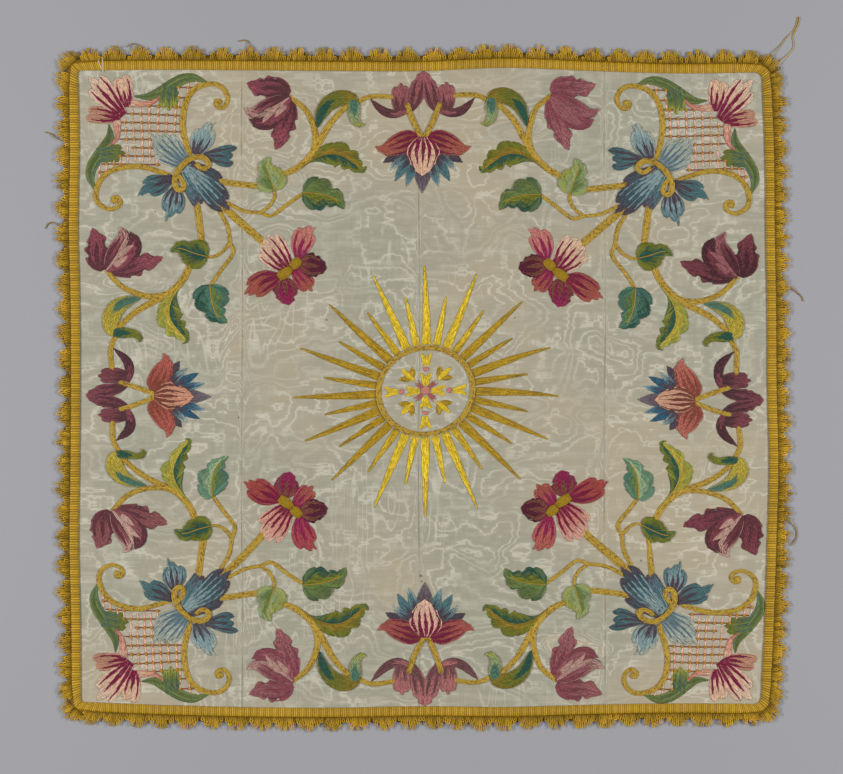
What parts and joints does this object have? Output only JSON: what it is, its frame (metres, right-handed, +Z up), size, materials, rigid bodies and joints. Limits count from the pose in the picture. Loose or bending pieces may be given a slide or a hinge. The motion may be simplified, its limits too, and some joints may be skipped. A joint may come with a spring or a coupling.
{
  "type": "chalice veil",
  "caption": "Flat square chalice veil of pale watered silk, with a looped gold gimp edging sewn round its rim.",
  "frame": {"origin": "under the middle of the cloth and its edging, on the surface that the veil lies on", "axes": "+X to the right of the veil as it is seen from above, +Y towards its head, +Z up off the surface"},
  "size_m": [0.5968, 0.5722, 0.003],
  "materials": {
    "watered_silk": "watered silk with a soft sheen",
    "gold_gimp": "gimp of gold-coloured silk cord",
    "coloured_floss": "glossy flat silk stitches in many colours",
    "gold_thread": "laid gold-coloured silk thread"
  },
  "bodies": {
    "root": {"silk_ground": "watered_silk", "edging_top": "gold_gimp", "edging_right": "gold_gimp", "edging_bottom": "gold_gimp", "edging_left": "gold_gimp", "loose_end_long": "gold_gimp", "loose_end_short": "gold_gimp"}
  },
  "joints": []
}
